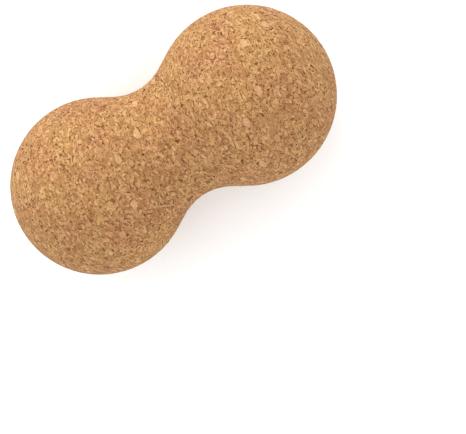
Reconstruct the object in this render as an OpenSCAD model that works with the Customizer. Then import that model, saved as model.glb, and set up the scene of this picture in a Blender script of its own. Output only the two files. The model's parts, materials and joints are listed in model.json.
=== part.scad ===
// Twin-lobed ("peanut") massage ball, turned from one pressed billet of agglomerated cork.
//
// The ball is a body of revolution: two round lobes joined by a hollowed waist. Agglomerated cork
// is cork granules glued together, so the large granules that the turned surface cuts through are
// solids of their own. Each one sits in a pocket of the body, in a thin cup of binder.
//
// The long axis runs along X, and Z is up. The origin is on the ground, under the waist.

/* [Ball] */
// Diameter of each round lobe
lobe_d = 81; // [60:0.5:110]
// Distance between the two lobe centres
lobe_pitch = 79; // [60:0.5:100]
// Radius of the hollow arc round the waist, which is 56 across with these sizes
waist_arc_r = 25.5; // [18:0.5:40]
// Length of the straight flank between a lobe and the waist arc
flank_len = 8; // [4:0.5:16]

/* [Large granules] */
// How many large granules the surface shows
granule_count = 180; // [60:1:260]
// How deep the granules reach below the surface
granule_depth = 2.4; // [1:0.1:5]
// Corners on a granule's outline
granule_corners = 7; // [5:1:9]
// Size of a granule along the pressing direction, as a share of its size across it
press_ratio = 0.62; // [0.4:0.02:1]
// Size of the pale granules, of clean cork tissue
pale_size = 5.4; // [2:0.1:7]
// Size of the honey-coloured granules, of older cork tissue
honey_size = 5; // [2:0.1:7]
// Size of the reddish granules, from the layer under the bark
rust_size = 4.2; // [2:0.1:6]
// Size of the dark crumbs of outer bark
bark_size = 3; // [1.5:0.1:5]
// Length of the brown slivers, from the breathing pores of the bark
sliver_size = 3.8; // [2:0.1:6]
// Width of a brown sliver, as a share of its length
sliver_ratio = 0.34; // [0.2:0.02:0.8]

/* [Binder and pits] */
// Thickness of the binder between a granule and the body
binder_t = 0.25; // [0.1:0.05:0.6]
// How many open pits the body shows
pit_count = 36; // [0:1:80]
// Diameter of a pit
pit_d = 1.8; // [0.8:0.1:3]

/* [Hidden] */
$fn = 120;

lobe_r = lobe_d / 2;
lobe_x = lobe_pitch / 2;
ball_len = lobe_pitch + lobe_d;
// Height of the long axis above the ground
axis_z = lobe_r;
// Distance of the waist arc's centre from the long axis. The flank touches the lobe and the arc, so
// it is one side of a right triangle whose other side is both radii end to end.
arc_h = sqrt(pow(lobe_r + waist_arc_r, 2) + pow(flank_len, 2) - pow(lobe_x, 2));
// Angle from the long axis to the flank's outward normal
flank_a = atan2(arc_h, -lobe_x) - atan2(flank_len, lobe_r + waist_arc_r);
// Distance along the axis, and radius, at which the flank leaves the lobe
lobe_end_x = lobe_x + lobe_r * cos(flank_a);
lobe_end_r = lobe_r * sin(flank_a);
// The same where the flank meets the waist arc
arc_end_x = -waist_arc_r * cos(flank_a);
arc_end_r = arc_h - waist_arc_r * sin(flank_a);
// How far the flank's ends lap into the lobe and the waist arc, so that it crosses both circles
flank_lap = 0.005;
// Half of the web between the lobes, as [radius, distance along the axis]: the lobe's centre, then
// both ends of the flank
web = [
    [0, lobe_x],
    [lobe_end_r - flank_lap * sin(flank_a), lobe_end_x - flank_lap * cos(flank_a)],
    [arc_end_r + flank_lap * sin(flank_a), arc_end_x + flank_lap * cos(flank_a)]
];

// Turn from one granule to the next, which spreads them evenly round the ball
golden_turn = 180 * (3 - sqrt(5));
// How far the cutters stand above the surface
cut_over = 1.5;
// The kinds of granule, in the order in which they repeat from one end of the ball to the other
blend = ["pale", "honey", "rust", "sliver", "honey", "pale", "bark", "honey", "rust"];

// Radius of the ball at x
function ball_r(x) =
    abs(x) > lobe_end_x ? sqrt(max(0, pow(lobe_r, 2) - pow(abs(x) - lobe_x, 2)))
    : abs(x) < arc_end_x ? arc_h - sqrt(pow(waist_arc_r, 2) - pow(x, 2))
    : arc_end_r + (lobe_end_r - arc_end_r) * (abs(x) - arc_end_x) / (lobe_end_x - arc_end_x);

// Lean at x of the surface's outward normal, towards +X from square to the long axis
function ball_lean(x) =
    sign(x) * (
        abs(x) > lobe_end_x ? asin(min(1, (abs(x) - lobe_x) / lobe_r))
        : abs(x) < arc_end_x ? -asin(abs(x) / waist_arc_r)
        : 90 - flank_a
    );

// Puts a child on the surface at x, at a turn round the long axis, with its Z outwards
module on_surface(x, turn)
    translate([0, 0, axis_z])
        rotate([turn, 0, 0])
            translate([x, 0, ball_r(x)])
                rotate([0, ball_lean(x), 0])
                    children();

// Half of the ball's outline, with the radius along X and the long axis along Y
module half_outline()
    intersection() {
        union() {
            for (side = [-1, 1])
                translate([0, side * lobe_x])
                    circle(r = lobe_r);
            difference() {
                polygon([for (p = web) [p.x, -p.y], for (k = [2:-1:0]) web[k]]);
                translate([arc_h, 0])
                    circle(r = waist_arc_r);
            }
        }
        translate([0, -ball_len])
            square([ball_len, 2 * ball_len]);
    }

// The whole turned ball, before its granules are told apart
module turned_ball()
    translate([0, 0, axis_z])
        rotate([0, 90, 0])
            rotate_extrude()
                half_outline();

function granule_x(i) = ball_len * ((i + 0.5) / granule_count - 0.5);
function granule_turn(i) = i * golden_turn;
function granule_kind(i) = blend[i % len(blend)];
function kind_size(kind) =
    kind == "pale" ? pale_size
    : kind == "honey" ? honey_size
    : kind == "rust" ? rust_size
    : kind == "bark" ? bark_size
    : sliver_size;

// Pressing flattens a granule along X, which shows less the more the surface leans that way
function pressed(lean) = 1 / sqrt(pow(cos(lean) / press_ratio, 2) + pow(sin(lean), 2));

// Evenly spread values from 0 to 1 that look random, one for each granule and corner
function spread(i, k) = let (v = i * 0.7548776662 + k * 0.5698402910) v - floor(v);

// Outline of granule i, with a margin all round it
function granule_outline(i, margin) =
    let (
        kind = granule_kind(i),
        narrow = kind == "sliver" ? sliver_ratio : pressed(ball_lean(granule_x(i)))
    )
    [
        for (k = [0:granule_corners - 1])
            let (
                a = 360 * (k + 0.5 * spread(i, k)) / granule_corners,
                r = kind_size(kind) / 2 * (0.84 + 0.3 * spread(i, k + granule_corners))
            )
            [(r * narrow + margin) * cos(a), (r + margin) * sin(a)]
    ];

// Cutters for the granules of one kind, or of "any" kind, with a margin round and below each
module cutters(kind, margin)
    for (i = [0:granule_count - 1])
        if (kind == "any" || kind == granule_kind(i))
            on_surface(granule_x(i), granule_turn(i))
                translate([0, 0, -granule_depth - margin])
                    linear_extrude(granule_depth + margin + cut_over)
                        polygon(granule_outline(i, margin));

module granules(kind)
    intersection() {
        turned_ball();
        cutters(kind, 0);
    }

// Round pits, half-way along the spiral between one granule and the next
module pits()
    for (k = [0:1:pit_count - 1])
        let (i = floor((k + 0.5) * granule_count / pit_count) + 0.5)
        on_surface(granule_x(i), granule_turn(i))
            sphere(d = pit_d);

// The bulk of the billet, fine granulate and binder, with a pocket for each large granule
module cork_body()
    color([0.75, 0.56, 0.36])
        difference() {
            turned_ball();
            cutters("any", binder_t);
            pits();
        }

// The cup of binder round each large granule
module binder_film()
    color([0.5, 0.33, 0.18])
        difference() {
            intersection() {
                turned_ball();
                cutters("any", binder_t);
            }
            cutters("any", 0);
        }

module pale_granules()
    color([0.87, 0.7, 0.5])
        granules("pale");

module honey_granules()
    color([0.79, 0.58, 0.36])
        granules("honey");

module rust_granules()
    color([0.68, 0.44, 0.29])
        granules("rust");

module bark_crumbs()
    color([0.4, 0.26, 0.16])
        granules("bark");

module pore_slivers()
    color([0.48, 0.31, 0.19])
        granules("sliver");

cork_body();
binder_film();
pale_granules();
honey_granules();
rust_granules();
bark_crumbs();
pore_slivers();
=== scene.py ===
import json
import math

import bpy
import numpy as np
from mathutils import Matrix, Vector


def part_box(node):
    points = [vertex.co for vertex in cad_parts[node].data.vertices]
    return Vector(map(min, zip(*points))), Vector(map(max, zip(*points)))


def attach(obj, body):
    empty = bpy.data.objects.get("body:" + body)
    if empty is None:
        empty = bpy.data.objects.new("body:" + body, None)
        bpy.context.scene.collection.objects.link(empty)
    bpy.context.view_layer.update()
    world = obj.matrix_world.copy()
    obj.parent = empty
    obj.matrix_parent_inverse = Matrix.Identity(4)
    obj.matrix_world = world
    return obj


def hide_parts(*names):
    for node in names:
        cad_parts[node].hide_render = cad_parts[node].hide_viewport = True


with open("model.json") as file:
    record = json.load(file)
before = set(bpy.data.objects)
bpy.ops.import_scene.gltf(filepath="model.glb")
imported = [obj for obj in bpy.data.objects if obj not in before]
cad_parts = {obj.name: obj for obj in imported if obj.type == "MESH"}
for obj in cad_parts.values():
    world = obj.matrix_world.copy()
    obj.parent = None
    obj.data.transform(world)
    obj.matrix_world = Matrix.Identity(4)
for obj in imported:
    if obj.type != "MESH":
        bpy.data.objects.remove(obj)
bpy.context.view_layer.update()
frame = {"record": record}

mm = 0.001
scene = bpy.context.scene
scene.view_settings.view_transform = "Standard"
goldenTurn = math.pi * (3 - math.sqrt(5))

# The ball's length, lobes and waist come from the frame, and only the arc round the waist is
# stated here.
ball = {
    "waistArc": 25.5 * mm,    # radius of the hollow arc round the waist
}
bodyLow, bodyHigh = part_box("cork_body")
lobeRadius = (bodyHigh.z - bodyLow.z) / 2
axisHeight = bodyLow.z + lobeRadius
lobeX = bodyHigh.x - lobeRadius
endX = lobeX + lobeRadius
grooveTop = next(m["pos_m"][2] for m in frame["record"]["mounts"] if m["name"] == "spine_groove")
arcRadius = ball["waistArc"]
arcHeight = grooveTop - axisHeight + arcRadius  # from the long axis to the waist arc's centre

# A straight flank touches lobe and arc, so it is the third side of a right triangle whose other
# sides are the line between the two centres and both radii end to end.
bothRadii = lobeRadius + arcRadius
flankLength = math.sqrt(arcHeight ** 2 + lobeX ** 2 - bothRadii ** 2)
flankAngle = math.atan2(arcHeight, -lobeX) - math.atan2(flankLength, bothRadii)
lobeEndX = lobeX + lobeRadius * math.cos(flankAngle)
lobeEndR = lobeRadius * math.sin(flankAngle)
arcEndX = -arcRadius * math.cos(flankAngle)
arcEndR = arcHeight - arcRadius * math.sin(flankAngle)


def outlineAt(x):
    # Radius of the ball at x, lean of its normal towards +X, and the curvature of its outline:
    # a circle on the lobes, a straight line on the flanks, a hollow circle at the waist
    far = np.abs(x)
    onLobe, onArc = far > lobeEndX, far < arcEndX
    reach = np.clip((far - lobeX) / lobeRadius, -1, 1)
    dip = np.clip(far / arcRadius, 0, 1)
    flank = arcEndR + (lobeEndR - arcEndR) * (far - arcEndX) / (lobeEndX - arcEndX)
    radius = np.where(onLobe, lobeRadius * np.sqrt(1 - reach ** 2),
                      np.where(onArc, arcHeight - arcRadius * np.sqrt(1 - dip ** 2), flank))
    lean = np.where(onLobe, np.arcsin(reach),
                    np.where(onArc, -np.arcsin(dip), math.pi / 2 - flankAngle))
    curve = np.where(onLobe, 1 / lobeRadius, np.where(onArc, -1 / arcRadius, 0.0))
    return radius, lean * np.sign(x), curve


def skinAt(x, turn):
    # The skin at x and at an angle round the ball: point, outward normal, tangents along and
    # round the ball, and curvatures along and round it, the second being cos(lean) / radius
    radius, lean, curve = outlineAt(x)
    s, c, rise, out = np.sin(turn), np.cos(turn), np.sin(lean), np.cos(lean)
    return {
        "point": np.stack([x, -radius * s, axisHeight + radius * c], 1),
        "normal": np.stack([rise, -out * s, out * c], 1),
        "along": np.stack([out, rise * s, -rise * c], 1),
        "around": np.stack([np.zeros_like(x), c, s], 1),
        "curve": curve,
        "hoop": out / np.maximum(radius, 0.5 * mm),
    }


def onSkin(skin, rows, x, y, lift):
    # Points at x along and y round each granule's place, bent to the skin, which falls away from
    # the tangent plane by half the squared distance times its curvature
    fall = (x ** 2 * skin["curve"][rows, None] + y ** 2 * skin["hoop"][rows, None]) / 2
    return (skin["point"][rows, None]
            + skin["along"][rows, None] * x[:, :, None]
            + skin["around"][rows, None] * y[:, :, None]
            + skin["normal"][rows, None] * (lift - fall)[:, :, None])


class Wire:
    # One output of a shader node, with the arithmetic that the finishes use
    def __init__(self, finish, socket):
        self.finish = finish
        self.socket = socket

    def combined(self, operation, first, second):
        return self.finish.add("ShaderNodeMath", {"operation": operation}, {0: first, 1: second})

    def __add__(self, other):
        return self.combined("ADD", self, other)

    def __radd__(self, other):
        return self.combined("ADD", other, self)

    def __sub__(self, other):
        return self.combined("SUBTRACT", self, other)

    def __rsub__(self, other):
        return self.combined("SUBTRACT", other, self)

    def __mul__(self, other):
        return self.combined("MULTIPLY", self, other)

    def __rmul__(self, other):
        return self.combined("MULTIPLY", other, self)


class Finish:
    # A material, built up from nodes and expressions
    def __init__(self, name):
        self.material = bpy.data.materials.new(name)
        self.material.use_nodes = True
        self.nodes = self.material.node_tree.nodes
        self.links = self.material.node_tree.links
        self.shader = self.nodes["Principled BSDF"]

    def set(self, **sockets):
        # sockets of the shader itself, with BaseColor standing for Base Color
        for name, value in sockets.items():
            spaced = "".join(" " + c if c.isupper() else c for c in name).strip()
            self.plug(self.shader.inputs[spaced], value)

    def plug(self, socket, value):
        if isinstance(value, Wire):
            self.links.new(value.socket, socket)
        else:
            socket.default_value = value

    def add(self, kind, settings=None, values=None, out=0):
        # a node of that kind, its settings first, then the values or links of its sockets
        node = self.nodes.new(kind)
        for name, setting in (settings or {}).items():
            if name == "stops":
                ramp = node.color_ramp.elements
                while len(ramp) < len(setting):
                    ramp.new(1.0)
                for element, (place, colour) in zip(ramp, setting):
                    element.position = place
                    element.color = colour
            else:
                setattr(node, name, setting)
        for name, value in (values or {}).items():
            self.plug(node.inputs[name], value)
        return Wire(self, node.outputs[out])

    def places(self):
        return self.add("ShaderNodeTexCoord", out="Object")

    def stretched(self, vector, scale):
        return self.add("ShaderNodeVectorMath", {"operation": "MULTIPLY"}, {0: vector, 1: scale})

    def noise(self, vector, size, detail=2.0, rough=0.5):
        # cloudy noise whose features are about that many metres across
        return self.add("ShaderNodeTexNoise", {"noise_dimensions": "3D"},
                        {"Vector": vector, "Scale": 1 / size, "Detail": detail, "Roughness": rough})

    def ramp(self, value, stops):
        return self.add("ShaderNodeValToRGB", {"stops": stops}, {0: value})

    def between(self, value, low, high):
        # 0 below low, 1 above high and a smooth step in between
        return self.add("ShaderNodeMapRange", {"interpolation_type": "SMOOTHSTEP"},
                        {"Value": value, "From Min": low, "From Max": high})

    def mix(self, share, first, second):
        return self.add("ShaderNodeMix", {"data_type": "RGBA"}, {0: share, 6: first, 7: second}, out=2)

    def attribute(self, name, out="Fac"):
        return self.add("ShaderNodeAttribute", {"attribute_name": name}, out=out)


def screenColour(red, green, blue):
    # screen colour from 0 to 255 as linear light: ((c + 0.055) / 1.055) to the power of 2.4
    return (*(((c / 255 + 0.055) / 1.055) ** 2.4 for c in (red, green, blue)), 1.0)


# Colours and grain of the cork, from the palest tissue to the bark
cork = {
    "ivory": screenColour(186, 146, 101),
    "cream": screenColour(179, 139, 94),
    "blush": screenColour(175, 131, 88),
    "straw": screenColour(170, 128, 82),
    "honey": screenColour(160, 117, 73),
    "amber": screenColour(151, 107, 65),
    "rust": screenColour(146, 99, 60),
    "clay": screenColour(122, 79, 46),
    "bark": screenColour(86, 54, 31),
    "grainSize": 0.5 * mm,      # fine mottling inside a granule
    "grainDepth": 0.13 * mm,    # relief of the mottling and the rings
    "ringSize": 0.7 * mm,       # spacing of the growth rings
    "ringStretch": 0.3,         # squeeze of the pattern along the rings, which makes them long
    "hue": 0.4995,              # 0.5 leaves the palette as it is
    "saturation": 1.006,
    "zoneSize": 16 * mm,        # redder and yellower zones of the ball
    "zoneHue": 0.024,
    "zoneLight": 0.14,
    "patchSize": 4.5 * mm,      # the same within a zone
    "patchHue": 0.018,
    "patchLight": 0.14,
    "speckSize": 0.9 * mm,      # dark lenticel specks
    "speckFrom": 0.63,          # noise level at which a speck starts
    "speckDark": 0.75,          # how much bark colour a speck takes
    "rimBinderAndShade": 0.2,             # how much darker colour a granule's edge takes: partly binder stain, partly painted shade of the crevice
}


def corkFinish(kind):
    # Matt cut cork. A granule's own tone picks its colour from the palette. Growth rings, mottling,
    # zones and patches lighten and darken it, zones and patches turn its hue, and dark specks and a
    # darker rim are mixed in. The darker rim is partly binder stain and partly painted shade of the
    # crevice beside the granule. Each pattern counts by how far it is from its middle value:
    # value = 1 + mottling * grain + rings * streaks + zones * zoneLight + patches * patchLight
    finish = Finish(kind["name"] + "Finish")
    places = finish.places()
    steps = len(kind["palette"]) - 1
    stops = [(k / steps, cork[shade]) for k, shade in enumerate(kind["palette"])]
    colour = finish.ramp(finish.attribute("tone"), stops)
    mottle = finish.noise(places, cork["grainSize"], 3.0, 0.62)
    squeezed = finish.stretched(finish.attribute("grain", "Vector"), (cork["ringStretch"], 1.0, 1.0))
    rings = finish.noise(squeezed, cork["ringSize"], 1.0)
    zones = finish.noise(places, cork["zoneSize"], 1.0) - 0.5
    patches = finish.noise(places, cork["patchSize"], 2.0, 0.6) - 0.5
    light = ((mottle - 0.5) * kind["grain"] + (rings - 0.5) * kind["streaks"]
             + zones * cork["zoneLight"] + patches * cork["patchLight"])
    hue = cork["hue"] + zones * cork["zoneHue"] + patches * cork["patchHue"]
    colour = finish.add("ShaderNodeHueSaturation", None, {
        "Hue": hue, "Saturation": cork["saturation"], "Value": light + 1.014, "Color": colour})
    flecks = finish.noise(places, cork["speckSize"], 3.0, 0.7)
    speckFrom = cork["speckFrom"] - kind["specks"]
    speck = finish.between(flecks, speckFrom, speckFrom + 0.04)
    # darker rim towards clay: partly binder stain, partly painted shade of the crevice beside the granule
    rim = finish.between(finish.attribute("rim"), 0.8, 1.0)
    colour = finish.mix(speck * cork["speckDark"], colour, cork["bark"])
    colour = finish.mix(rim * cork["rimBinderAndShade"], colour, cork["clay"])
    relief = finish.add("ShaderNodeBump", None, {
        "Strength": 1.0, "Distance": cork["grainDepth"], "Height": mottle * 0.6 + rings})
    finish.set(BaseColor=colour, Roughness=mottle * 0.2 + 0.78, Normal=relief)
    finish.shader.inputs["Specular IOR Level"].default_value = 0.25
    return finish.material


def newPiece(name, points, faces, material, node):
    mesh = bpy.data.meshes.new(name)
    mesh.from_pydata(points, [], faces)
    mesh.materials.append(material)
    piece = bpy.data.objects.new(name, mesh)
    scene.collection.objects.link(piece)
    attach(piece, "root")
    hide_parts(node)
    return piece


class Pebbles:
    # Gathers closed granules of any corner count and makes one piece of them
    def __init__(self):
        self.points, self.faces, self.tones, self.rims, self.grains = [], [], [], [], []
        self.maps, self.owners, self.count, self.start = [], [], 0, 0

    def take(self, skin, group, chosen, shape, rng):
        # A granule is the middle of its face, a ring on the face if it is bevelled, its outline,
        # and a point below. Every point is the granule's place plus x along, y round and a lift,
        # and no edge stands nearer to the skin than a small clearance.
        rows, outX, outY = group["rows"][chosen], group["outX"][chosen], group["outY"][chosen]
        midX, midY = group["midX"][chosen], group["midY"][chosen]
        count, corners = outX.shape
        if count == 0:
            return
        bevel = shape["bevel"]
        clearance = 0.006 * mm
        shares = [0.8, 1.0] if bevel else [1.0]  # reach of the ring and of the outline
        tone = rng.uniform(0, 1, count)
        sunk = -shape["sunk"] * rng.uniform(0.1, 1, (count, 1))
        lean = rng.uniform(-shape["tilt"], shape["tilt"], (2, count, 1))
        rings = [onSkin(skin, rows, midX, midY, sunk)]
        for share in shares:
            x, y = outX * share, outY * share
            drop = shape["dome"] + bevel * (share == 1)
            lift = np.minimum(sunk + lean[0] * x + lean[1] * y - drop, -clearance)
            rings.append(onSkin(skin, rows, midX + x, midY + y, lift))
        rings.append(onSkin(skin, rows, midX, midY, np.full_like(midX, -shape["depth"])))
        points = np.concatenate(rings, 1)
        size = points.shape[1]

        # faces: a fan on top, a slanted band below a bevel's ring, and a fan to the point below
        k = np.arange(corners)
        after = (k + 1) % corners
        outer = size - 1 - corners
        tip = np.full(corners, size - 1)
        fan = np.stack([outer + after, outer + k, tip], 1)
        band = np.stack([outer + k, outer + after, 1 + after, outer + k, 1 + after, 1 + k], 1)
        cap = np.stack([1 + k, 1 + after, 0 * k], 1)
        upper = np.concatenate([band.reshape(-1, 3), cap]) if bevel else cap
        first = self.start + np.arange(count) * size
        self.faces.append((np.concatenate([fan, upper])[None] + first[:, None, None]).reshape(-1, 3))
        self.points.append(points.reshape(-1, 3))
        self.tones.append(np.repeat(tone, size))
        rim = np.concatenate([[0.0]] + [np.full(corners, share) for share in shares] + [[1.0]])
        self.rims.append(np.tile(rim, count))

        # grain: the place in the granule's own turned axes, moved elsewhere for each granule
        angle = rng.uniform(0, 2 * math.pi, (count, 1, 1))
        local = points - skin["point"][rows, None]
        a = np.sum(local * skin["along"][rows, None], 2, keepdims=True)
        b = np.sum(local * skin["around"][rows, None], 2, keepdims=True)
        c, s = np.cos(angle), np.sin(angle)
        turned = np.concatenate([a * c + b * s, b * c - a * s, 0 * a], 2)
        self.grains.append((turned + rng.uniform(0, 1, (count, 1, 3))).reshape(-1, 3))

        # map: the face is a large disc in the granule's own square and the underside a small disc
        # in its corner, so the outline has two places in the table
        disc = np.stack([outX, outY], 2) / np.hypot(outX, outY).max(1)[:, None, None]
        face, under = np.array([0.42, 0.58]), np.array([0.88, 0.12])
        faceReach, underReach = 0.37, 0.1
        table = np.concatenate(
            [np.broadcast_to(face, (count, 1, 2))] + [face + faceReach * share * disc for share in shares]
            + [under + underReach * disc, np.broadcast_to(under, (count, 1, 2))], 1)
        lookup = np.concatenate([fan + corners, upper])
        self.maps.append(table[:, lookup].reshape(-1, 2))
        self.owners.append(np.repeat(self.count + np.arange(count), lookup.size))
        self.count += count
        self.start += count * size

    def piece(self, kind):
        # One mesh of all granules gathered, each with its own square of the map
        piece = newPiece(kind["name"], np.concatenate(self.points), np.concatenate(self.faces).tolist(),
                         corkFinish(kind), kind["node"])
        mesh = piece.data
        for layer, sort, key, values in (("tone", "FLOAT", "value", self.tones),
                                         ("rim", "FLOAT", "value", self.rims),
                                         ("grain", "FLOAT_VECTOR", "vector", self.grains)):
            data = mesh.attributes.new(layer, sort, "POINT").data
            data.foreach_set(key, np.concatenate(values).astype(np.float32).ravel())
        perRow = math.ceil(math.sqrt(self.count))
        owner = np.concatenate(self.owners)
        square = np.stack([owner % perRow, owner // perRow], 1)
        flat = (np.concatenate(self.maps) + square) / perRow
        mesh.uv_layers.new(name="OFBake").uv.foreach_set("vector", flat.astype(np.float32).ravel())
        print(kind["name"], "granules:", self.count, "faces:", len(mesh.polygons))


# Large granules of the skin, in sizes, order and outline as in the frame
large = {
    "count": 180,
    "blend": ["pale", "honey", "rust", "sliver", "honey", "pale", "bark", "honey", "rust"],
    "size": {"pale": 5.4 * mm, "honey": 5.0 * mm, "rust": 4.2 * mm, "bark": 3.0 * mm, "sliver": 3.8 * mm},
    "sliverWidth": 0.34,     # width of a sliver, as a share of its length
    "pressing": 0.62,        # flatness of a granule along the ball's length
    "corners": 7,
    "depth": 1.6 * mm,       # how deep the granule's point lies below the skin
    "bevel": 0.03 * mm,      # drop of the worn edge
    "sunk": 0.05 * mm,       # most that a granule's face lies below the skin
    "dome": 0.008 * mm,      # how far the edge of a face lies below its middle
    "tilt": 0.02,            # most lean of a face, as a slope
}


def spreadValue(i, k):
    # Evenly spread values from 0 to 1 that look random: whole steps of two irrational numbers
    value = i * 0.7548776662 + k * 0.5698402910
    return value - np.floor(value)


def largeGranules():
    # One granule every golden turn along the ball. A corner stands at an angle and a reach that
    # vary from granule to granule, and the middle of each side is a corner too.
    count, corners = large["count"], large["corners"]
    index = np.arange(count)
    x = endX * 2 * ((index + 0.5) / count - 0.5)
    lean = outlineAt(x)[1]
    kinds = np.array([large["blend"][i % len(large["blend"])] for i in index])
    size = np.array([large["size"][kind] for kind in kinds])
    narrow = 1 / np.sqrt((np.cos(lean) / large["pressing"]) ** 2 + np.sin(lean) ** 2)
    narrow = np.where(kinds == "sliver", large["sliverWidth"], narrow)
    i, k = np.meshgrid(index, np.arange(corners), indexing="ij")
    angle = 2 * math.pi * (k + 0.5 * spreadValue(i, k)) / corners
    reach = size[:, None] / 2 * (0.84 + 0.3 * spreadValue(i, k + corners))
    cornerX, cornerY = reach * narrow[:, None] * np.cos(angle), reach * np.sin(angle)
    outX = np.stack([cornerX, (cornerX + np.roll(cornerX, -1, 1)) / 2], 2).reshape(count, -1)
    outY = np.stack([cornerY, (cornerY + np.roll(cornerY, -1, 1)) / 2], 2).reshape(count, -1)
    zero = np.zeros((count, 1))
    group = {"rows": index, "midX": zero, "midY": zero, "outX": outX, "outY": outY}
    half = size / 2 * np.where(kinds == "sliver", 0.6, 0.93)
    return skinAt(x, index * goldenTurn), group, kinds, half


# Fine granules, which fill the skin between the large ones
fines = {
    "count": 36000,
    "jitter": 0.5,           # stray from an even spread, as a share of the spacing
    "pressing": 0.72,        # flatness along the ball's length
    "slender": 0.8,          # width of a granule across its own length, besides that
    "tangle": 0.9,           # spread of the granules' own directions, in radians
    "swell": 1.09,           # how far they are pressed into one another
    "half": 0.58 * mm,       # usual half size
    "mixture": 0.9,          # how much the sizes differ, as a share of that
    "flakes": 0.06,          # share of larger flakes among them
    "flakeHalf": 1.35 * mm,
    "reach": 2.1 * mm,       # most that one reaches from its middle
    "ragged": 0.16,          # stray of the middle of a side, as a share of its distance
    "missing": 0.006,        # share that fell out and left a pit
    "gap": 0.012 * mm,       # usual gap to a neighbour
    "notch": 0.16 * mm,      # a rare wide gap at one corner
    "notchRare": 12,         # power that makes it rare
    "crescent": 1.0 * mm,    # a rare wide gap along one side
    "crescentRare": 18,
    "depth": 0.9 * mm,       # how deep the granule's point lies below the skin
    "bevel": 0,
    "sunk": 0.05 * mm,
    "dome": 0.008 * mm,
    "tilt": 0.02,
}


def evenPlaces(rng):
    # Places spread evenly over the ball as the pressing sees it: the ball is stretched along X,
    # its skin is shared out in equal areas from end to end, and each place takes one golden turn.
    # The spacing is the root of a place's area, and the jitter is a share of it.
    count = fines["count"]
    x = endX * np.sin(np.linspace(-1, 1, 4001) * math.pi / 2)
    radius = outlineAt(x)[0]
    step = np.hypot(np.diff(x) / fines["pressing"], np.diff(radius))
    area = np.append(0, np.cumsum(step * (radius[1:] + radius[:-1])))
    index = np.arange(count)
    placed = np.interp((index + 0.5) / count, area / area[-1], x)
    spacing = math.sqrt(area[-1] * math.pi / count)
    stray = spacing * rng.uniform(-fines["jitter"], fines["jitter"], (2, count))
    radius, lean, curve = outlineAt(placed)
    placed = placed + stray[0] * fines["pressing"] * np.cos(lean)
    turn = index * goldenTurn + stray[1] / np.maximum(radius, spacing)
    return np.clip(placed, -endX * 0.9999, endX * 0.9999), turn


def cellCorners(place, half, along, around, lie):
    # Corners of the flat cell round each granule, in its own plane. A side of the cell parts the
    # granule from one neighbour, standing where the two granules' spheres would meet if the skin
    # were stretched across the granule's own length. Every two sides cross somewhere, and the
    # crossing is a corner if no third side cuts it off. Batches of granules in order along the
    # ball look for their nearest neighbours within a window.
    near, batch, window = 20, 300, 3.2 * mm
    press, thin = fines["pressing"], fines["slender"]
    order = np.argsort(place[:, 0])
    sortedX = place[order, 0]
    first, second = np.triu_indices(near, 1)
    cornerX = np.full((len(place), len(first)), np.inf)
    cornerY = np.full((len(place), len(first)), np.inf)
    for start in range(0, len(place), batch):
        rows = order[start:start + batch]
        ends = np.searchsorted(sortedX, [sortedX[start] - window, place[rows[-1], 0] + window])
        pool = order[ends[0]:ends[1]]
        stretched = (place[rows, None] - place[pool]) * np.array([1 / press, 1, 1])
        power = np.sum(stretched ** 2, 2) - half[pool] ** 2
        power[rows[:, None] == pool[None]] = np.inf
        close = pool[np.argpartition(power, near, axis=1)[:, :near]]
        away = place[close] - place[rows, None]
        a, b = np.sum(away * along[rows, None], 2), np.sum(away * around[rows, None], 2)

        # u along and v across the granule's own length, both after the stretching
        c, s = np.cos(lie[rows, None]), np.sin(lie[rows, None])
        u, v = (c * a / press + s * b) * thin, (c * b - s * a / press) / thin
        middle = (u ** 2 + v ** 2 + half[rows, None] ** 2 - half[close] ** 2) / 2
        a, b = (c * u * thin - s * v / thin) / press, s * u * thin + c * v / thin

        # the sides are the lines a * x + b * y = middle
        cross = a[:, first] * b[:, second] - a[:, second] * b[:, first]
        cross = np.where(np.abs(cross) < 1e-14, np.inf, cross)
        x = (middle[:, first] * b[:, second] - middle[:, second] * b[:, first]) / cross
        y = (a[:, first] * middle[:, second] - a[:, second] * middle[:, first]) / cross
        past = (a[:, None] * x[:, :, None] + b[:, None] * y[:, :, None] - middle[:, None]).max(2)
        inside = (past < 1e-12) & np.isfinite(cross) & (np.hypot(x, y) < fines["reach"])
        cornerX[rows] = np.where(inside, x, np.inf)
        cornerY[rows] = np.where(inside, y, np.inf)
    return cornerX, cornerY


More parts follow.
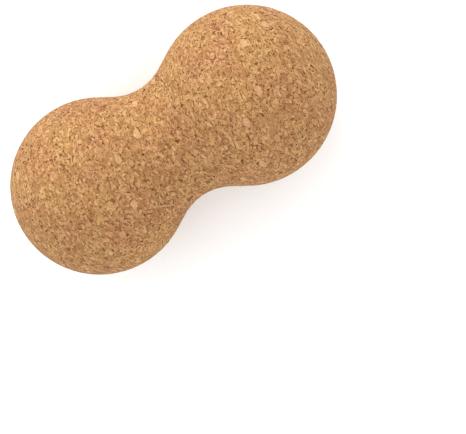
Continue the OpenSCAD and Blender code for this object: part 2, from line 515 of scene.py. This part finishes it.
def fineGranules(largeSkin, largeHalf, rng):
    # Fine granules in groups of equal corner count. An outline is the corners of its cell with the
    # middle of each side between them, swollen, then shrunk by the gap: out = far * swell - gap
    x, turn = evenPlaces(rng)
    skin = skinAt(x, turn)
    half = fines["half"] * (1 + fines["mixture"] * rng.uniform(-1, 1, len(x)))
    half = np.where(rng.uniform(0, 1, len(x)) < fines["flakes"], fines["flakeHalf"], half)
    both = {key: np.concatenate([largeSkin[key], skin[key]]) for key in ("point", "along", "around")}
    lie = math.pi / 2 + rng.normal(0, fines["tangle"], len(both["point"]))
    cornerX, cornerY = cellCorners(both["point"], np.concatenate([largeHalf, half]),
                                   both["along"], both["around"], lie)
    cornerX, cornerY = cornerX[len(largeHalf):], cornerY[len(largeHalf):]
    valid = np.isfinite(cornerX)
    kept = rng.uniform(0, 1, len(x)) > fines["missing"]
    groups = []
    for corners in range(3, 13):
        rows = np.flatnonzero((valid.sum(1) == corners) & kept)
        inside = valid[rows]
        px = cornerX[rows][inside].reshape(-1, corners)
        py = cornerY[rows][inside].reshape(-1, corners)
        midX, midY = px.mean(1, keepdims=True), py.mean(1, keepdims=True)
        order = np.argsort(np.arctan2(py - midY, px - midX), axis=1)
        px = np.take_along_axis(px - midX, order, 1)
        py = np.take_along_axis(py - midY, order, 1)
        stray = 1 + fines["ragged"] * rng.uniform(-1, 1, px.shape)
        sideX, sideY = (px + np.roll(px, -1, 1)) / 2 * stray, (py + np.roll(py, -1, 1)) / 2 * stray
        outX = np.stack([px, sideX], 2).reshape(len(rows), -1) * fines["swell"]
        outY = np.stack([py, sideY], 2).reshape(len(rows), -1) * fines["swell"]
        far = np.hypot(outX, outY)
        size = np.sqrt(far[:, 0::2].mean(1) * far[:, 1::2].mean(1))
        bearing = np.arctan2(outY, outX) - rng.uniform(0, 2 * math.pi, (len(rows), 1))
        crescent = rng.uniform(0, 1, (len(rows), 1)) ** fines["crescentRare"]
        notch = rng.uniform(0, 1, far.shape) ** fines["notchRare"]
        gap = (fines["gap"] + fines["notch"] * notch
               + fines["crescent"] * crescent * np.maximum(np.cos(bearing), 0) ** 2)
        shrink = np.maximum(1 - gap / np.maximum(far, 0.05 * mm), 0.3)

        # the tiniest cells are left out, and dust, darkened with painted shade, shows in their place
        good = (far.min(1) > 0.07 * mm) & (size > 0.16 * mm)
        groups.append({"rows": rows[good], "midX": midX[good], "midY": midY[good], "size": size[good],
                       "outX": (outX * shrink)[good], "outY": (outY * shrink)[good]})
    return skin, groups


# Kinds of fine granule, with the share of the mixture, the palette, how strong its mottling,
# growth rings and specks are, and what it replaces
fineKinds = [
    {"name": "creamFines", "share": 0.15, "palette": ["straw", "cream", "blush"],
     "grain": 0.85, "streaks": 1.05, "specks": 0.0, "node": "cork_body", "slot": "pale_cork"},
    {"name": "strawFines", "share": 0.20, "palette": ["honey", "straw", "blush"],
     "grain": 0.85, "streaks": 1.05, "specks": 0.005, "node": "cork_body", "slot": "honey_cork"},
    {"name": "honeyFines", "share": 0.20, "palette": ["amber", "honey", "straw"],
     "grain": 0.85, "streaks": 1.05, "specks": 0.01, "node": "cork_body", "slot": "fine_cork"},
    {"name": "amberFines", "share": 0.19, "palette": ["amber", "honey", "straw"],
     "grain": 0.85, "streaks": 1.05, "specks": 0.01, "node": "cork_body", "slot": "fine_cork"},
    {"name": "rustFines", "share": 0.18, "palette": ["rust", "amber", "honey"],
     "grain": 0.85, "streaks": 1.05, "specks": 0.01, "node": "cork_body", "slot": "rust_cork"},
    {"name": "barkFines", "share": 0.08, "palette": ["bark", "clay", "rust", "amber"],
     "grain": 1.0, "streaks": 1.0, "specks": 0.03, "node": "cork_body", "slot": "bark"},
]
largeKinds = [
    {"name": "paleGranules", "kind": "pale", "palette": ["blush", "ivory"],
     "grain": 0.8, "streaks": 0.9, "specks": 0.0, "node": "pale_granules", "slot": "pale_cork"},
    {"name": "honeyGranules", "kind": "honey", "palette": ["amber", "straw"],
     "grain": 0.8, "streaks": 1.0, "specks": 0.005, "node": "honey_granules", "slot": "honey_cork"},
    {"name": "rustGranules", "kind": "rust", "palette": ["rust", "amber"],
     "grain": 0.8, "streaks": 0.9, "specks": 0.01, "node": "rust_granules", "slot": "rust_cork"},
    {"name": "barkCrumbs", "kind": "bark", "palette": ["clay", "rust"],
     "grain": 1.0, "streaks": 0.9, "specks": 0.03, "node": "bark_crumbs", "slot": "bark"},
    {"name": "poreSlivers", "kind": "sliver", "palette": ["clay", "rust"],
     "grain": 1.0, "streaks": 1.1, "specks": 0.02, "node": "pore_slivers", "slot": "pore_cork"},
]


def shareOut(groups, rng):
    # Place of each fine granule in the order of kinds, from 0 to 1. Small granules are more often
    # dark, so it follows chance less the granule's size over the usual size.
    lots = [rng.uniform(0, 1, len(g["rows"])) - 0.22 * (g["size"] / fines["half"] - 1) for g in groups]
    ranked = np.sort(np.concatenate(lots))
    return [np.searchsorted(ranked, lot) / len(ranked) for lot in lots]


rng = np.random.default_rng(20)
largeSkin, largeGroup, largeKind, largeHalf = largeGranules()
fineSkin, fineGroups = fineGranules(largeSkin, largeHalf, rng)
lots = shareOut(fineGroups, rng)
used = 0.0
for kind in fineKinds:
    pebbles = Pebbles()
    for group, lot in zip(fineGroups, lots):
        chosen = np.flatnonzero((lot >= used) & (lot < used + kind["share"]))
        pebbles.take(fineSkin, group, chosen, fines, rng)
    pebbles.piece(kind)
    used += kind["share"]
for kind in largeKinds:
    pebbles = Pebbles()
    pebbles.take(largeSkin, largeGroup, np.flatnonzero(largeKind == kind["kind"]), large, rng)
    pebbles.piece(kind)

# Glue round the large granules
binder = {
    "film": 0.25 * mm,       # thickness, as in the frame
    "top": 0.035 * mm,       # how far its inner edge lies below the skin
    "slope": 0.03 * mm,      # drop to its outer edge
    "cloudSize": 0.8 * mm,
}


def binderFinish():
    # Set glue, amber brown and a little smoother than the cork
    finish = Finish("setBinder")
    cloud = finish.noise(finish.places(), binder["cloudSize"])
    finish.set(BaseColor=finish.ramp(cloud, [(0.35, cork["clay"]), (0.65, cork["rust"])]), Roughness=0.62)
    return finish.material


def binderPiece():
    # A closed wall round each large granule: four rings of its outline, scaled and lifted, joined
    # in a loop from inner top to outer top, outer foot and inner foot
    outX, outY = largeGroup["outX"], largeGroup["outY"]
    wide = 1 + binder["film"] / np.hypot(outX, outY)
    high, low = -binder["top"], -large["depth"]
    levels = [(0.97, high), (wide, high - binder["slope"]), (wide * 0.93, low), (0.9, low)]
    rings = [onSkin(largeSkin, largeGroup["rows"], outX * share, outY * share, np.full_like(outX, lift))
             for share, lift in levels]
    corners = outX.shape[1]
    k = np.arange(corners)
    after = (k + 1) % corners
    wall = np.concatenate([
        np.stack([a * corners + k, a * corners + after, b * corners + after, b * corners + k], 1)
        for a, b in ((1, 0), (2, 1), (3, 2), (0, 3))])
    first = (np.arange(len(outX)) * 4 * corners)[:, None, None]
    faces = (wall[None] + first).reshape(-1, 4).tolist()
    newPiece("binderFilm", np.stack(rings, 1).reshape(-1, 3), faces, binderFinish(), "binder_film")
    print("binderFilm faces:", len(faces))


# Packed dust under the granules, seen at the bottom of gaps and pits. Its dark colour is partly the
# dust's own and partly painted shade of the gaps and pits.
dustAndShade = {
    "depth": 0.36 * mm,      # usual depth below the skin
    "swell": 0.12 * mm,      # how much that varies
    "rings": 250,            # rings along the ball
    "sides": 236,            # points round it
    "grainSize": 0.5 * mm,
}


def dustAndShadeFinish():
    # Dark cork dust in set glue, its darkness partly painted shade of the gaps and pits
    finish = Finish("dustAndShadeBedFinish")
    cloud = finish.noise(finish.places(), dustAndShade["grainSize"], 3.0, 0.65)
    # bark, clay and rust: the dust's own colour, darkened with painted shade of the gaps and pits
    stops = [(0.25, cork["bark"]), (0.42, cork["clay"]), (0.6, cork["rust"])]
    finish.set(BaseColor=finish.ramp(cloud, stops), Roughness=0.9)
    return finish.material


def dustAndShadePiece():
    # A surface of revolution: rings spaced evenly along the skin, each of their points sunk by a
    # random depth, with a point closing each end
    x = endX * np.sin(np.linspace(-1, 1, 4001) * math.pi / 2)
    run = np.append(0, np.cumsum(np.hypot(np.diff(x), np.diff(outlineAt(x)[0]))))
    rings, sides = dustAndShade["rings"], dustAndShade["sides"]
    ringX = np.interp(np.linspace(0, run[-1], rings + 2)[1:-1], run, x)
    turn = np.linspace(0, 2 * math.pi, sides, endpoint=False)
    skin = skinAt(np.repeat(ringX, sides), np.tile(turn, rings))
    depth = dustAndShade["depth"] + dustAndShade["swell"] * rng.uniform(-1, 1, (rings * sides, 1))
    endPoints = [[sign * (endX - dustAndShade["depth"]), 0, axisHeight] for sign in (-1, 1)]
    points = np.concatenate([skin["point"] - skin["normal"] * depth, endPoints])
    j = np.arange(sides)
    after = (j + 1) % sides
    base = np.arange(rings - 1)[:, None] * sides
    quads = np.stack([base + j, base + after, base + sides + after, base + sides + j], 2).reshape(-1, 4)
    last = (rings - 1) * sides
    startCap = np.stack([after, j, np.full(sides, rings * sides)], 1)
    endCap = np.stack([last + j, last + after, np.full(sides, rings * sides + 1)], 1)
    faces = quads.tolist() + startCap.tolist() + endCap.tolist()
    newPiece("dustAndShadeBed", points, faces, dustAndShadeFinish(), "cork_body")
    print("dustAndShadeBed faces:", len(faces))


binderPiece()
dustAndShadePiece()

# Camera, light and floor
studio = {
    "tilt": math.radians(8.6),     # lean of the view from straight above, towards +X
    "roll": math.radians(31.7),    # turn of the ball's length from level in the view
    "distance": 0.62,
    "lens": 105.4,
    "aimRight": 27.5 * mm,         # how far beside and below the ball the camera aims
    "aimDown": 34.35 * mm,
    "sky": 1.37,                   # strength of the even light from all round
    "keyPower": 7.8,
    "keySize": 0.6,
    "keyDistance": 1.1,
    "keyLean": math.radians(68),   # lean of the key light from the view axis
    "floor": 0.93,
    "floorHalf": 3.0,
}

# Axes of the view: towards the camera, right and up in the picture, and across the ball
towards = Vector((math.sin(studio["tilt"]), 0, math.cos(studio["tilt"])))
length = Vector((math.cos(studio["tilt"]), 0, -math.sin(studio["tilt"])))
across = Vector((0, 1, 0))
right = length * math.cos(studio["roll"]) - across * math.sin(studio["roll"])
up = length * math.sin(studio["roll"]) + across * math.cos(studio["roll"])
middle = Vector((0, 0, axisHeight))


def placeCamera():
    place = middle + towards * studio["distance"]
    aim = middle + right * studio["aimRight"] - up * studio["aimDown"]
    back = (place - aim).normalized()
    side = (right - back * right.dot(back)).normalized()
    camera = bpy.data.objects.new("camera", bpy.data.cameras.new("camera"))
    camera.data.lens = studio["lens"]
    camera.data.sensor_width = 36
    camera.data.clip_start, camera.data.clip_end = 0.01, 20
    turned = Matrix((side, back.cross(side), back)).transposed().to_4x4()
    camera.matrix_world = Matrix.Translation(place) @ turned
    scene.collection.objects.link(camera)
    scene.camera = camera


def placeLights():
    # an even sky, and one large soft lamp that leans from the view axis across the ball
    lean = studio["keyLean"]
    heading = (towards * math.cos(lean) + across * math.sin(lean)).normalized()
    key = bpy.data.lights.new("key", "AREA")
    key.energy = studio["keyPower"]
    key.size = studio["keySize"]
    key.color = (1.0, 0.985, 0.96)
    lamp = bpy.data.objects.new("key", key)
    lamp.location = middle + heading * studio["keyDistance"]
    lamp.rotation_mode = "QUATERNION"
    lamp.rotation_quaternion = heading.to_track_quat("Z", "Y")
    scene.collection.objects.link(lamp)
    world = bpy.data.worlds.new("sky")
    world.use_nodes = True
    world.node_tree.nodes["Background"].inputs["Color"].default_value = (1, 1, 1, 1)
    world.node_tree.nodes["Background"].inputs["Strength"].default_value = studio["sky"]
    scene.world = world


def placeFloor():
    mesh = bpy.data.meshes.new("floor")
    r = studio["floorHalf"]
    mesh.from_pydata([(-r, -r, 0), (r, -r, 0), (r, r, 0), (-r, r, 0)], [], [(0, 1, 2, 3)])
    floor = bpy.data.objects.new("floor", mesh)
    finish = Finish("paleFloor")
    finish.set(BaseColor=(studio["floor"], studio["floor"], studio["floor"], 1), Roughness=0.9)
    mesh.materials.append(finish.material)
    scene.collection.objects.link(floor)


placeFloor()
placeLights()
placeCamera()
print("floor, lights and camera placed")
